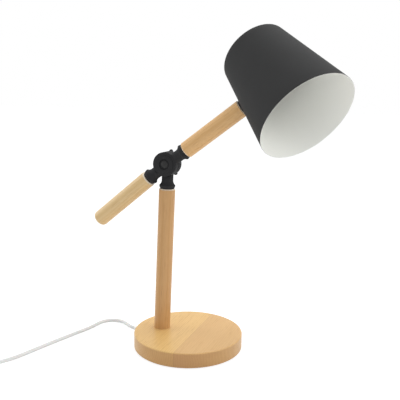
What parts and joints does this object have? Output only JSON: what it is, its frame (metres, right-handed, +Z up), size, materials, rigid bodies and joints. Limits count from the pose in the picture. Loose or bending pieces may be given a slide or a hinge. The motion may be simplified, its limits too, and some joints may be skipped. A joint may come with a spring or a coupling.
{
  "type": "desk lamp",
  "caption": "Desk lamp with a round wooden base, a wooden post, a friction-hinged wooden arm with a rear stub, and a dark conical metal shade that swivels on the arm's end.",
  "frame": {"origin": "centre of the base's underside, on the table", "axes": "+Z up; +X from the post toward the head, so the arm swings in the XZ plane; -Y is the side with the hinge bolt's head"},
  "size_m": [0.543, 0.332, 0.4322],
  "materials": {
    "base_wood": "clear satin lacquer on edge-glued beech",
    "post_wood": "clear satin lacquer on a darker dowel",
    "arm_wood": "clear satin lacquer on a warm dowel",
    "stub_wood": "clear satin lacquer on a pale dowel",
    "black_nylon": "moulded, fine matt texture",
    "shade_paint": "matt charcoal powder coat outside, pale grey inside",
    "zinc_steel": "zinc plated",
    "raw_steel": "cut plate, lightly oiled",
    "black_steel": "black oxide",
    "brass": "turned",
    "black_phenolic": "pressed, half gloss",
    "porcelain": "glazed white",
    "foam": "closed-cell foam sheet",
    "fibre": "pressed fibre",
    "white_pvc": "soft satin",
    "white_shell": "moulded, half gloss",
    "nickel": "nickel plated",
    "grey_jacket": "thin extruded jacket"
  },
  "bodies": {
    "stand": {"base_disc": "base_wood", "base_weight": "raw_steel", "weight_screws": "zinc_steel", "base_pad": "foam", "post": "post_wood", "post_insert": "brass", "post_tube": "zinc_steel", "foot_washer": "zinc_steel", "foot_nut": "zinc_steel", "post_knuckle": "black_nylon", "friction_ring": "fibre", "cord_gland": "white_shell", "cord_tail": "white_pvc", "cord_clamp": "zinc_steel", "clamp_screws": "zinc_steel", "post_wire": "grey_jacket", "cord_lead": "white_pvc", "switch_base": "white_shell", "switch_cover": "white_shell", "switch_screws": "zinc_steel", "cord_coil": "white_pvc", "cord_tie": "white_pvc", "plug_body": "white_pvc", "plug_pins": "nickel", "pin_sleeves": "white_shell"},
    "arm": {"arm_knuckle": "black_nylon", "hinge_bolt": "black_steel", "hinge_washer": "black_steel", "hinge_spring": "black_steel", "stub_rod": "stub_wood", "upper_arm": "arm_wood", "arm_insert": "brass", "swivel_tube": "zinc_steel", "swivel_washer": "black_steel", "swivel_spring": "zinc_steel", "swivel_nut": "zinc_steel", "arm_wire": "grey_jacket"},
    "knob": {"wing_knob": "black_nylon", "knob_nut": "brass"},
    "head": {"outer_saddle": "black_nylon", "shade": "shade_paint", "crown_plate": "shade_paint", "inner_saddle": "black_nylon", "holder_bracket": "zinc_steel", "holder_tube": "zinc_steel", "holder_nut": "zinc_steel", "holder_cap": "black_phenolic", "holder_sleeve": "black_phenolic", "holder_core": "porcelain", "thread_shell": "nickel", "centre_contact": "brass", "holder_lead": "grey_jacket"},
    "rocker": {"switch_rocker": "white_shell"}
  },
  "joints": [
    {"name": "arm_tilt", "type": "hinge", "parent": "stand", "child": "arm", "pos_m": [-0.03155, 0, 0.25426], "axis": [0, -1, 0], "range_deg": [-65, 3]},
    {"name": "shade_swivel", "type": "hinge", "parent": "arm", "child": "head", "pos_m": [0.07367, -0.006, 0.33162], "axis": [0.8002, 0, 0.5997], "range_deg": [-165, 165]},
    {"name": "knob_turn", "type": "hinge", "parent": "arm", "child": "knob", "pos_m": [-0.03155, 0.015, 0.25426], "axis": [0, 1, 0], "range_deg": [-180, 180]},
    {"name": "switch_rock", "type": "hinge", "parent": "stand", "child": "rocker", "pos_m": [-0.22624, -0.19506, 0.013], "axis": [-0.788, 0.6157, 0], "range_deg": [0, 14]}
  ]
}
